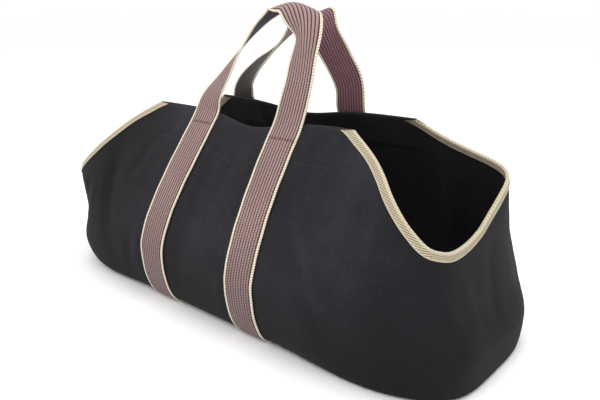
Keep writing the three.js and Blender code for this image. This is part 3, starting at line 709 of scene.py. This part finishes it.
def canvas():
    rows = wall_rings()
    rings = np.array([skin(a, z) for a, z in rows])
    edge = rings[-1]
    for k in range(1, FLOOR_RINGS + 1):
        u = 1 - k / (FLOOR_RINGS + 1)
        rings = np.concatenate([rings, (edge * np.array([u, u, 0]))[None]])
    flat = len(rows) - 1
    count = len(rings)

    def normals_of(r):
        around = np.roll(r, -1, 1) - np.roll(r, 1, 1)
        up = np.concatenate([r[:1] - r[1:2], r[:-2] - r[2:], r[-2:-1] - r[-1:]])
        n = unit(np.cross(around, up))
        n[flat:] = (0, 0, -1)
        return n

    normals = normals_of(rings)
    # distance from the rim, down each column
    steps = np.linalg.norm(np.diff(rings, axis=0), axis=2)
    down = np.concatenate([np.zeros((1, COLUMNS)), np.cumsum(steps, axis=0)])
    off = np.abs(ANGLES)
    on_panel = ((off > R_) & (math.pi - off > L_)).astype(float)
    soften = np.convolve(np.concatenate([on_panel[-4:], on_panel, on_panel[:4]]), np.ones(9) / 9, "valid")
    panel_rim = np.broadcast_to(soften, (count, COLUMNS))
    flatp = rings.reshape(-1, 3)
    rise = settle(flatp, down.ravel(), panel_rim.ravel()).reshape(count, COLUMNS)
    rise[flat:] = 0
    outer = rings + normals * rise[..., None]
    normals = normals_of(outer)
    # the hem is folded in: two layers thick above its seam
    hem = 1.3 * panel_rim * ramp(down, 42.5, 40.5)
    thick = CANVAS - 0.15 + hem
    inner = outer - normals * thick[..., None]
    # rounded edge between outer and inner faces
    top = []
    lift = unit(outer[0] - outer[1])
    for k in range(1, 4):
        phi = math.pi * k / 4
        mid = (outer[0] + inner[0]) / 2
        half = (outer[0] - inner[0]) / 2
        top.append(mid + half * math.cos(phi) + lift * (np.linalg.norm(half, axis=1)[:, None] * math.sin(phi)))
    top = np.array(top)
    order = [outer[::-1], top, inner]
    points = np.concatenate([o.reshape(-1, 3) for o in order])
    total_rows = 2 * count + 3
    faces = grid_faces(total_rows, COLUMNS, True)
    # both faces of the flat close on their middle
    n = len(points)
    points = np.concatenate([points, [[0, 0, 0]], [[0, 0, thick[-1, 0]]]])
    last = (total_rows - 1) * COLUMNS
    for i in range(COLUMNS):
        j = (i + 1) % COLUMNS
        faces.append([n, j, i])
        faces.append([n + 1, last + i, last + j])
    faces = facing_out(points, faces)
    # cloth coordinates: along the front or rear and round the ends, and down from the belly
    belly = BOUND_RINGS + WALL_RINGS
    t = down - down[belly]
    x, y = rings[..., 0], rings[..., 1]
    start = END_STEPS + PANEL_STEPS + END_STEPS // 2  # first column past the middle of the left end
    rolled = np.roll(rings, -start, 1)
    step = np.linalg.norm(np.roll(rolled, -1, 1) - rolled, axis=2)
    run = np.concatenate([np.zeros((count, 1)), np.cumsum(step, 1)], 1)
    front_mid = END_STEPS // 2 + PANEL_STEPS // 2
    rear_mid = front_mid + END_STEPS + PANEL_STEPS
    from_front = run - run[:, front_mid:front_mid + 1] + rolled[:, front_mid, :1]
    from_rear = run - run[:, rear_mid:rear_mid + 1] - rolled[:, rear_mid, :1]
    closing = from_rear[:, :-1].copy()
    closing[:, 0] = from_rear[:, -1]
    ways = [np.roll(v, start, 1) for v in (from_front[:, :-1], from_rear[:, :-1], closing)]
    wear_noise = (fractal(flatp + 90.0, 34.0, 3).reshape(count, COLUMNS) + 1) / 2
    worn = np.exp(-((down / 3.0) ** 2)) * 0.3 * panel_rim
    low_edge = np.exp(-(((rings[..., 2] - 9) / 12) ** 2)) * ramp(wear_noise, 0.5, 0.85) * 0.4
    worn = np.clip(worn + low_edge + ramp(rise, 1.2, 2.6) * 0.15, 0, 1)
    t[flat:] = rings[flat:, :, 1]
    sides = []
    for way in ways:
        cloth = np.stack([way * MM, t * MM, worn], -1)
        cloth[flat:, :, 0] = x[flat:] * MM
        topc = np.repeat(cloth[:1], 3, 0)
        sides.append(np.concatenate([cloth[::-1].reshape(-1, 3), topc.reshape(-1, 3), cloth.reshape(-1, 3), [[0, 0, 0]], [[0, 0, 0]]]))
    corners = []
    for f in faces:
        front = sum(points[i][1] for i in f) < 0
        at = {i % COLUMNS for i in f}
        values = sides[0] if front else sides[2 if start in at and start - 1 in at else 1]
        corners.extend(values[i] for i in f)
    ob = make_object("canvas_shell", place(points), faces, corners={"cloth": np.array(corners)})
    return ob, outer, normals, down, rings


canvas_ob, OUTER, NORMALS, DOWN, SMOOTH = canvas()


# ---------------------------------------------------------------- binding tape of the scoops
def tape(name, side):
    steps = 190
    start, end = (-R_, R_) if side > 0 else (math.pi - L_, math.pi + L_)
    if side > 0:
        a = np.append(even_angles(start, end, steps), end)
    else:
        first = even_angles(math.pi - L_, math.pi - 1e-9, steps // 2)
        second = even_angles(-math.pi + 1e-9, L_ - math.pi, steps // 2)
        a = np.concatenate([first, second, [L_ - math.pi]])
    _, _, at, along, normal, down = below_rim(a, TAPE_WIDTH)
    # smooth the frame so that the tape turns gently
    def smooth(v, width=2):
        k = np.exp(-0.5 * (np.arange(-6, 7) / width) ** 2)
        k /= k.sum()
        padded = np.concatenate([np.repeat(v[:1], 6, 0), v, np.repeat(v[-1:], 6, 0)])
        return np.stack([np.convolve(padded[:, i], k, "valid") for i in range(3)], -1)
    normal = unit(smooth(normal))
    down = unit(smooth(down))
    run = np.concatenate([[0], np.cumsum(np.linalg.norm(np.diff(at, axis=0), axis=1))])
    # at both ends the tape is cut level with the top edge
    for end, sign in ((0, -1), (-1, 1)):
        corner = a[end]
        away = unit(rim_point(np.array(corner + sign * 0.02)) - rim_point(np.array(corner + sign * 0.002)))
        near = run if end == 0 else run[-1] - run
        w = (1 - ramp(near, -4, 13))[:, None]
        turned = unit(down * (1 - w) + away * w)
        scale = 1 / np.maximum((turned * down).sum(-1, keepdims=True), 0.5)
        down = np.where(w > 1e-4, turned * scale, down)
    width, play, thick, slim = TAPE_WIDTH, 0.2, 0.65, TAPE_SLIM
    body = CANVAS
    # contour of one section: distance down from the fold, distance out, and where it lies across the tape
    contour = []
    def put(d, n, u):
        contour.append((d, n, u))
    for d in (9.5, 9.35, 8.9, 8.0, 7.0, 5.8, 4.6, 3.4, 2.2, 1.0):
        bulge = 0.15 * math.sin(math.pi * min(1, d / width))
        edge = 0.3 if d > 9.4 else (0.1 if d > 9.2 else 0.0)
        put(d, play + thick + bulge - edge + (0.15 if 8.3 < d < 9.4 else 0), d)
    radius = (body + 2 * (play + thick)) / 2
    for k in range(0, 9):
        phi = math.pi * k / 8
        put(0.3 - radius * math.sin(phi) * 0.7, -body / 2 + radius * math.cos(phi), 0.5 - 1.0 * k / 8)
    for d in (1.0, 2.2, 3.4, 4.6, 5.8, 7.0, 8.0, 8.9):
        put(d, -body - play - thick, -d)
    put(9.1, -body - play - thick + 0.3, -9.1)
    put(9.1, -body - play - 0.1, -9.1)
    put(5.0, -body - play, -5)
    for k in range(0, 5):
        phi = math.pi * k / 4
        r = radius - thick
        put(0.3 - r * math.sin(phi) * 0.7, -body / 2 - r * math.cos(phi), 0.0)
    put(5.0, play, 5)
    put(9.4, play, 9.5)
    c = np.array(contour)
    c[:, 0] *= slim  # drawn in a little across, as the fold pulls it
    wobble = 0.22 * np.sin(run / 9.0 + 1.1 * np.sin(run / 23.0))
    wobble = wobble * ramp(run, 0, 12) * ramp(run[-1] - run, 0, 12)
    d = c[None, :, 0] + np.where(c[None, :, 0] > 7.5 * slim, wobble[:, None], 0)
    points = at[:, None] + down[:, None] * d[..., None] + normal[:, None] * c[None, :, 1, None]
    n = len(c)
    values = np.stack([np.broadcast_to(run[:, None], d.shape) * MM, np.broadcast_to(c[None, :, 2], d.shape) * MM, np.zeros(d.shape)], -1)
    pts = points.reshape(-1, 3)
    faces = facing_out(pts, tube_faces(len(a), n))
    ob = make_object(name, place(pts), faces, attributes={"cloth": values.reshape(-1, 3)})
    return ob, at, along, normal, down, run


tape_right, *TAPE_R = tape("tape_right", 1)
tape_left, *TAPE_L = tape("tape_left", -1)


# ---------------------------------------------------------------- webbing: one closed run, cut at its four seams
WEB_LIFT = 1.12  # middle of the webbing above the canvas


def panel_point(x, z, panel):
    """Point WEB_LIFT above the panel, and the panel's outward normal there."""
    e = 0.5
    y = panel_y(x, z, panel)
    gx = (panel_y(x + e, z, panel) - panel_y(x - e, z, panel)) / (2 * e)
    zl, zh = np.maximum(z - e, 0.02), z + e
    gz = (panel_y(x, zh, panel) - panel_y(x, zl, panel)) / (zh - zl)
    n = unit(np.stack([-gx * panel, np.full_like(np.asarray(y, float), 1.0) * panel, -gz * panel], -1) * np.array([1, 1, 1]))
    p = np.stack([np.broadcast_to(x, np.shape(y)), y, np.broadcast_to(z, np.shape(y))], -1)
    return p + n * WEB_LIFT, n


def bilge_point(x, phi, panel):
    z = BELLY_HEIGHT * (1 - math.sin(phi))
    y = panel_y(np.array(float(x)), np.array(z), panel)
    # normal of the quarter ellipse
    floor = float(FLOOR_HALF + (FLOOR_HALF_ENDS - FLOOR_HALF) * ramp(abs(x), 95, 235))
    n = unit(np.array([0.0, panel * math.cos(phi) / (BELLY_HALF - floor), -math.sin(phi) / BELLY_HEIGHT]))
    return np.array([x, float(y), z]) + n * WEB_LIFT, n


def strap_run(which, panel):
    """Centre line from the middle of the bottom up one panel to the top edge."""
    front_top, front_belly, rear_belly, rear_top = STRAPS[which]
    belly = front_belly if panel < 0 else rear_belly
    top = front_top if panel < 0 else rear_top
    mid = (front_belly + rear_belly) / 2
    points, normals = [], []
    for k in range(0, 30):
        u = k / 30
        points.append([mid + (belly - mid) * u, panel * FLOOR_HALF * u, -WEB_LIFT])
        normals.append([0, 0, -1])
    for k in range(0, 40):
        p, n = bilge_point(belly, math.pi / 2 * (1 - k / 40), panel)
        points.append(p)
        normals.append(n)
    edge = float(edge_height(np.array(float(top)), panel))
    for z in np.linspace(BELLY_HEIGHT, edge, 90):
        x = float(strap_centre(which, panel, np.array(z)))
        p, n = panel_point(np.array(x), np.array(z), panel)
        points.append(p)
        normals.append(n)
    return np.array(points, float), np.array(normals, float), edge


def catmull(rows, t):
    """Centripetal curve through the rows at t from 0 to 1."""
    n = len(rows)
    p = (n - 1) * t
    i = min(int(math.floor(p)), n - 2)
    w = p - i
    p1, p2 = rows[i], rows[i + 1]
    p0 = rows[i - 1] if i > 0 else 2 * rows[0] - rows[1]
    p3 = rows[i + 2] if i + 2 < n else 2 * rows[-1] - rows[-2]
    d0, d1, d2 = (max(float(((b - a) ** 2).sum()) ** 0.25, 1e-4) for a, b in ((p0, p1), (p1, p2), (p2, p3)))
    t1 = ((p1 - p0) / d0 - (p2 - p0) / (d0 + d1) + (p2 - p1) / d1) * d1
    t2 = ((p2 - p1) / d1 - (p3 - p1) / (d1 + d2) + (p3 - p2) / d2) * d1
    return p1 + t1 * w + (-3 * p1 + 3 * p2 - 2 * t1 - t2) * w ** 2 + (2 * p1 - 2 * p2 + t1 + t2) * w ** 3


def handle_run(where):
    """Centre line and width of a handle between the two top edges, left to right."""
    panel, loop = HANDLES[where]
    rows, turns = [], []
    ends = []
    for which in ("left", "right"):
        top = STRAPS[which][0 if panel < 0 else 3]
        edge = float(edge_height(np.array(float(top)), panel))
        low_, n0 = panel_point(np.array(float(top)), np.array(edge - SEAM_BELOW_EDGE - 1), panel)
        high_, n1 = panel_point(np.array(float(top)), np.array(edge), panel)
        ends.append((low_, high_ + n1 * 0.4))
    rows = [ends[0][0], ends[0][1]] + [np.array(r[:3], float) - np.array([0, 0, LIFT]) for r in loop] + [ends[1][1], ends[1][0]]
    turns = [0, 0] + [r[3] for r in loop] + [0, 0]
    apex = int(np.argmax(turns))
    last = len(rows) - 1
    points, wides = [], []
    steps = 150
    for k in range(steps + 1):
        f = 1.05 + (last - 2.1) * k / steps
        i = min(int(math.floor(f)), last - 1)
        u = f - i
        def turn_at(r):
            return turns[r] if r <= apex else 2 - turns[r]
        turn = turn_at(i) + (turn_at(i + 1) - turn_at(i)) * u * u * (3 - 2 * u)
        angle = turn * math.pi / 2
        p = catmull(rows, f / last)
        along = unit(catmull(rows, min(1, f / last + 1e-4)) - catmull(rows, max(0, f / last - 1e-4)))
        wide = np.array([-math.cos(angle), math.sin(angle), 0.0])
        square = float(np.clip(min(f - 1.7, last - 1.7 - f) / 1.16, 0, 1))
        wide = unit(wide - along * float(wide @ along) * square)
        points.append(p)
        wides.append(wide)
    return np.array(points), np.array(wides)


def webbing_loop():
    """The closed run: up the left strap in front, over the front handle, down and under the right strap, and back at the rear."""
    fl, _, _ = strap_run("left", -1)
    fr, _, _ = strap_run("right", -1)
    rr, _, _ = strap_run("right", 1)
    rl, _, _ = strap_run("left", 1)
    hf, wf = handle_run("front")
    hr, wr = handle_run("rear")
    left = np.array([-1.0, 0, 0])
    right = np.array([1.0, 0, 0])
    parts = [
        (fl, np.tile(left, (len(fl), 1))),
        (hf, wf),
        (fr[::-1], np.tile(right, (len(fr), 1))),
        (rr[1:], np.tile(right, (len(rr) - 1, 1))),
        (hr[::-1], wr[::-1]),
        (rl[:0:-1], np.tile(left, (len(rl) - 1, 1))),
    ]
    p = np.concatenate([a for a, _ in parts])
    w = np.concatenate([b for _, b in parts])
    keep = np.concatenate([[True], np.linalg.norm(np.diff(p, axis=0), axis=1) > 1e-3])
    p, w = p[keep], w[keep]
    closed = np.concatenate([p, p[:1]])
    run = np.concatenate([[0], np.cumsum(np.linalg.norm(np.diff(closed, axis=0), axis=1))])
    total = run[-1]
    count = int(round(total / 1.9))
    at = total * np.arange(count) / count
    wclosed = np.concatenate([w, w[:1]])
    p = np.stack([np.interp(at, run, closed[:, i]) for i in range(3)], -1)
    w = np.stack([np.interp(at, run, wclosed[:, i]) for i in range(3)], -1)

    def smooth(v, width, reach):
        k = np.exp(-0.5 * (np.arange(-reach, reach + 1) / width) ** 2)
        k /= k.sum()
        padded = np.concatenate([v[-reach:], v, v[:reach]])
        return np.stack([np.convolve(padded[:, i], k, "valid") for i in range(3)], -1)

    free = ramp(p[:, 2], BODY_HEIGHT - 26, BODY_HEIGHT + 4)[:, None]
    p = p * (1 - free) + smooth(p, 3.2, 10) * free
    w = unit(smooth(w, 4.5, 14))
    along = unit(np.roll(p, -1, 0) - np.roll(p, 1, 0))
    out = -unit(np.cross(w, along))
    return p, w, along, out, at, total


WP, WW, WA, WO, WS, WTOTAL = webbing_loop()


def web_contour():
    """Section of the webbing: distance across, height, and 1 on the face or 0 on the back."""
    pts = []
    half = WEB_WIDTH / 2
    across = np.linspace(-WEB_CORE, WEB_CORE, WEB_ROWS * 4 + 1)
    pitch = 2 * WEB_CORE / WEB_ROWS
    for w in across:
        phase = ((w + WEB_CORE) / pitch) % 1
        pts.append((w, 0.62 + 0.26 * math.sin(math.pi * phase) ** 0.8 if 0 < phase < 1 else 0.62, 1))
    pts.append((17.2, 0.5, 1))
    for k in range(0, 9):
        # selvedge cord, from its inner top round the outside to its inner bottom
        ang = math.radians(150 - 300 * k / 8)
        pts.append((half - 1.55 + 1.55 * math.cos(ang), 0.98 * math.sin(ang), 1 if k < 4 else (0.5 if k == 4 else 0)))
    pts.append((17.2, -0.5, 0))
    for w in across[::-1][::2]:
        pts.append((w, -0.62, 0))
    pts.append((-17.2, -0.5, 0))
    for k in range(0, 9):
        ang = math.radians(-30 - 300 * k / 8)
        pts.append((-half + 1.55 + 1.55 * math.cos(ang), 0.98 * math.sin(ang), 0 if k < 4 else (0.5 if k == 4 else 1)))
    pts.append((-17.2, 0.5, 1))
    return np.array(pts, float)


CONTOUR = web_contour()


def seam_positions():
    """Distances along the closed run of the four seams between strap and handle."""
    n = len(WS)
    found = []
    z = WP[:, 2]
    for panel, which in ((-1, "left"), (-1, "right"), (1, "right"), (1, "left")):
        top = STRAPS[which][0 if panel < 0 else 3]
        level = float(edge_height(np.array([top - 20.0, top, top + 20.0]), panel).min()) - SEAM_BELOW_EDGE
        best = None
        for i in range(n):
            j = (i + 1) % n
            if (z[i] - level) * (z[j] - level) <= 0 and np.sign(WP[i, 1]) == panel and abs(WP[i, 0] - top) < 26:
                best = i
                break
        found.append(best)
    return found


SEAMS = seam_positions()


def web_piece(name, first, last, tone=None):
    """The webbing from one seam to the next, as a closed band."""
    n = len(WS)
    idx = np.arange(first, last + 1 if last > first else last + n + 1) % n
    p, w, a, o, s = WP[idx], WW[idx], WA[idx], WO[idx], WS[idx].copy()
    s[idx < idx[0]] += WTOTAL
    m = len(CONTOUR)
    # the weave draws the edges in and out a little, and the selvedge's twist shows in its outline
    edge = 0.16 * np.sin(s / 5.3) + 0.12 * np.sin(s / 13.7 + 1.0)
    c = CONTOUR
    outer = np.abs(c[:, 0]) > 17.5
    twist = np.sin(2 * math.pi * s[:, None] / 2.6 * 0.5 + c[None, :, 0]) * 0.08
    across = c[None, :, 0] + np.where(outer, edge[:, None] * np.sign(c[None, :, 0]), 0)
    high = c[None, :, 1] * (1 + np.where(outer, twist, 0))
    # where a hand has held it, at the top of a handle, the webbing is cupped along its length
    cup = (0.044 * ramp(p[:, 2], BODY_HEIGHT + 50, BODY_HEIGHT + 96) * ramp(p[:, 0], 4, 38))[:, None] + 1e-6
    side, drop = np.sin(across * cup) / cup, (np.cos(across * cup) - 1) / cup
    tilt_w, tilt_o = np.sin(across * cup), np.cos(across * cup)
    points = (p[:, None] + w[:, None] * (side + high * tilt_w)[..., None]
              + o[:, None] * (drop + high * tilt_o)[..., None])
    values = np.stack([np.broadcast_to(c[None, :, 0], across.shape) * MM, np.broadcast_to(s[:, None], across.shape) * MM, np.broadcast_to(c[None, :, 2], across.shape)], -1)
    tones = np.zeros(values.shape)
    if tone is not None:
        tones[..., 0] = tone(p)[:, None] * (1 - c[None, :, 2]) * (np.abs(c[None, :, 0]) < 17.4)
    pts = points.reshape(-1, 3)
    faces = facing_out(pts, tube_faces(len(idx), m))
    return make_object(name, place(pts), faces, attributes={"web": values.reshape(-1, 3), "tone": tones.reshape(-1, 3)}), p, w, a, o, s


def shaded_left(p, where=44):
    """Painted shade on the backs of both left legs: how much of the near-black colour they get."""
    return 0.94 * ramp(p[:, 0], where, where - 24)


fl_, fr_, rr_, rl_ = SEAMS
handle_front, *HF = web_piece("webbing_handle_front", fl_, fr_, shaded_left)
strap_right, *SR = web_piece("webbing_strap_right", fr_, rr_)
handle_rear, *HR = web_piece("webbing_handle_rear", rr_, rl_, lambda p: shaded_left(p, 4))
strap_left, *SL = web_piece("webbing_strap_left", rl_, fl_)


# ---------------------------------------------------------------- stitches
def stitches(name, centres, along, up, length, radius):
    """A run of short threads, each a flattened capsule that dips into the cloth at both ends."""
    rings = [(-0.5, 0.3, -0.7), (-0.32, 0.85, 0.0), (0.0, 1.0, 0.25), (0.32, 0.85, 0.0), (0.5, 0.3, -0.7)]
    sides = 6
    points, faces, values = [], [], []
    for i, (c, a, u) in enumerate(zip(centres, along, up)):
        side = np.cross(a, u)
        start = len(points)
        for pos, size, lift in rings:
            for k in range(sides):
                phi = 2 * math.pi * k / sides
                points.append(c + a * (length * pos) + (u * math.sin(phi) * 0.75 + side * math.cos(phi)) * radius * size + u * radius * lift)
                values.append((i * 0.003 + pos * length * MM, k, 0))
        for r in range(len(rings) - 1):
            for k in range(sides):
                n = (k + 1) % sides
                faces.append([start + r * sides + k, start + r * sides + n, start + (r + 1) * sides + n, start + (r + 1) * sides + k])
        faces.append([start + k for k in range(sides)][::-1])
        faces.append([start + (len(rings) - 1) * sides + k for k in range(sides)])
    pts = np.array(points)
    per = len(rings) * sides
    sample = [[i - 0 for i in f] for f in faces[: (len(rings) - 1) * sides + 2]]
    good = facing_out(pts[:per], sample)
    if good is not sample:
        faces = [list(reversed(f)) for f in faces]
    return make_object(name, place(pts), faces, attributes={"cloth": np.array(values, float)})


def every(run, pitch, start=2.0):
    return np.arange(start, run[-1] - start, pitch)


def sample_rows(values, run, at):
    return np.stack([np.interp(at, run, values[:, i]) for i in range(3)], -1)


def tape_stitches(name, data):
    at, along, normal, down, run = data
    c, a, u = [], [], []
    for face, d, n in ((1, 7.7 * TAPE_SLIM, 1.05), (-1, 7.5 * TAPE_SLIM, -CANVAS - 0.95)):
        s = every(run, 3.3)
        base = sample_rows(at, run, s)
        nn = unit(sample_rows(normal, run, s))
        dd = sample_rows(down, run, s)
        aa = unit(sample_rows(along, run, s))
        c.append(base + dd * d + nn * n)
        a.append(aa)
        u.append(nn * face)
    return stitches(name, np.concatenate(c), np.concatenate(a), np.concatenate(u), 2.3, 0.27)


def strap_stitches(name, data):
    """Both edges of a strap, just inside the selvedges."""
    p, w, a, o, s = data
    run = s - s[0]
    c, al, up = [], [], []
    for side in (-1, 1):
        at = every(run, 4.2, 3.0)
        base, ww, aa, oo = (sample_rows(v, run, at) for v in (p, w, a, o))
        ww, aa, oo = unit(ww), unit(aa), unit(oo)
        keep = base[:, 2] > -0.5  # the threads on the bottom are worn flat
        c.append((base + ww * side * 15.9 + oo * 0.78)[keep])
        al.append(aa[keep])
        up.append(oo[keep])
    return stitches(name, np.concatenate(c), np.concatenate(al), np.concatenate(up), 2.9, 0.26)


def seam_stitches(name, data_list):
    """Lines of thread across the webbing where strap and handle meet."""
    c, al, up = [], [], []
    for data, end in data_list:
        p, w, a, o, s = data
        i = 0 if end == 0 else len(p) - 1
        for row in (-0.9, 0.9):
            for t in np.arange(-15.6, 15.7, 2.6):
                c.append(p[i] + w[i] * t + a[i] * row + o[i] * 0.86)
                al.append(w[i])
                up.append(o[i])
    return stitches(name, np.array(c), np.array(al), np.array(up), 2.2, 0.34)


def hem_stitches(name, panel):
    """The hem's seam, along the panel between the ends of the scoops."""
    c, a, u = [], [], []
    off = np.abs(ANGLES)
    cols = np.where((off > R_) & (math.pi - off > L_) & (np.sign(ANGLES) == panel))[0]
    cols = cols[np.argsort(SMOOTH[0, cols, 0])]
    line, nrm = [], []
    for i in cols:
        k = int(np.searchsorted(DOWN[:, i], 41.0))
        f = (41.0 - DOWN[k - 1, i]) / max(1e-6, DOWN[k, i] - DOWN[k - 1, i])
        line.append(OUTER[k - 1, i] + (OUTER[k, i] - OUTER[k - 1, i]) * f)
        nrm.append(NORMALS[k, i])
    line, nrm = np.array(line), np.array(nrm)
    run = np.concatenate([[0], np.cumsum(np.linalg.norm(np.diff(line, axis=0), axis=1))])
    at = every(run, 3.6, 4.0)
    base, nn = sample_rows(line, run, at), unit(sample_rows(nrm, run, at))
    aa = unit(sample_rows(line, run, at + 0.5) - sample_rows(line, run, at - 0.5))
    keep = np.ones(len(base), bool)
    for which in STRAPS:
        keep &= np.abs(base[:, 0] - strap_centre(which, panel, base[:, 2])) > 22
    return stitches(name, (base + nn * 0.12)[keep], aa[keep], nn[keep], 2.5, 0.24)


threads = {
    "stitches_tape_right": (tape_stitches("stitches_tape_right", TAPE_R), "tape"),
    "stitches_tape_left": (tape_stitches("stitches_tape_left", TAPE_L), "tape"),
    "stitches_strap_left": (strap_stitches("stitches_strap_left", SL), "webbing"),
    "stitches_strap_right": (strap_stitches("stitches_strap_right", SR), "webbing"),
    "stitches_seams_front": (seam_stitches("stitches_seams_front", [(HF, 0), (HF, 1)]), "webbing"),
    "stitches_seams_rear": (seam_stitches("stitches_seams_rear", [(HR, 0), (HR, 1)]), "webbing"),
    "stitches_hem_front": (hem_stitches("stitches_hem_front", -1), "canvas"),
    "stitches_hem_rear": (hem_stitches("stitches_hem_rear", 1), "canvas"),
}

# ---------------------------------------------------------------- materials, bodies and what each piece stands for
CANVAS_MAT, TAPE_MAT, WEB_MAT = canvas_material(), tape_material(), webbing_material()
THREADS = {
    "tape": thread_material("thread_cream", colour(176, 160, 130), colour(232, 220, 196)),
    "webbing": thread_material("thread_brown", colour(44, 30, 28), colour(84, 60, 54)),
    "canvas": thread_material("thread_black", colour(26, 26, 29), colour(66, 65, 71)),
}
for ob, mat, node, slot in (
    (canvas_ob, CANVAS_MAT, "canvas_body", "canvas"),
    (tape_right, TAPE_MAT, "end_binding_right", "tape"),
    (tape_left, TAPE_MAT, "end_binding_left", "tape"),
    (strap_left, WEB_MAT, "body_strap_left", "webbing"),
    (strap_right, WEB_MAT, "body_strap_right", "webbing"),
    (handle_front, WEB_MAT, "handle_front", "webbing"),
    (handle_rear, WEB_MAT, "handle_rear", "webbing"),
):
    ob.data.materials.append(mat)
    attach(ob, "root")
    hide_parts(node)
for ob, slot in threads.values():
    ob.data.materials.append(THREADS[slot])
    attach(ob, "root")


def half_area(ob):
    """Half the mesh's area in square metres: the area of one face of a thin sheet."""
    return sum(p.area for p in ob.data.polygons) / 2


# ---------------------------------------------------------------- floor, lights and camera
def stage_floor():
    size, n = 40.0, 24
    g = np.linspace(-size, size, n)
    pts = np.array([(x, y, 0.0) for y in g for x in g])
    ob = make_object("floor", pts, grid_faces(n, n, False))
    m = Shade("floor_pale")
    speck = m.noise(m.position(), 40.0, 3.0)
    m.link(m.mix(speck, colour(250, 250, 250), colour(253, 253, 253)), m.shader.inputs["Base Color"])
    m.shader.inputs["Roughness"].default_value = 0.85
    m.shader.inputs["Specular IOR Level"].default_value = 0.15
    ob.data.materials.append(m.material)
    return ob


floor = stage_floor()


def area_light(name, at, target, size, power, tint=(1, 1, 1)):
    data = bpy.data.lights.new(name, "AREA")
    data.shape = "RECTANGLE"
    data.size, data.size_y = size
    data.energy = power
    data.color = tint
    ob = bpy.data.objects.new(name, data)
    bpy.context.scene.collection.objects.link(ob)
    ob.location = at
    ob.rotation_euler = (Vector(target) - Vector(at)).to_track_quat("-Z", "Y").to_euler()
    return ob


area_light("key", (0.7, -1.7, 2.0), (0.05, 0, 0.12), (1.6, 1.2), 20)
area_light("fill", (-1.7, -1.6, 1.3), (0, 0, 0.12), (1.6, 1.6), 2.5)
area_light("top", (0.0, 0.3, 2.6), (0, 0, 0.1), (2.4, 2.0), 20)
area_light("rim", (0.6, 2.2, 1.4), (0, 0, 0.2), (1.8, 1.0), 8)

world = bpy.data.worlds.new("studio")
world.use_nodes = True
background = world.node_tree.nodes.get("Background") or world.node_tree.nodes.new("ShaderNodeBackground")
background.inputs[0].default_value = (1.0, 1.0, 1.0, 1.0)
background.inputs[1].default_value = 1.02
bpy.context.scene.world = world
bpy.context.scene.view_settings.view_transform = "Standard"
bpy.context.scene.view_settings.look = "None"

YAW, PITCH = 44.2, 15.2
camera_data = bpy.data.cameras.new("camera")
camera_data.sensor_width = 36.0
camera_data.lens = 42.0
camera_data.clip_start = 0.02
camera_data.clip_end = 60.0
camera = bpy.data.objects.new("camera", camera_data)
bpy.context.scene.collection.objects.link(camera)
camera.location = [float(v) for v in (np.array([558.6, -536.2, 317.9]) + SHIFT) * MM]
camera.rotation_euler = (math.radians(90 - PITCH), 0.0, math.radians(YAW))
bpy.context.scene.camera = camera

bpy.context.view_layer.update()
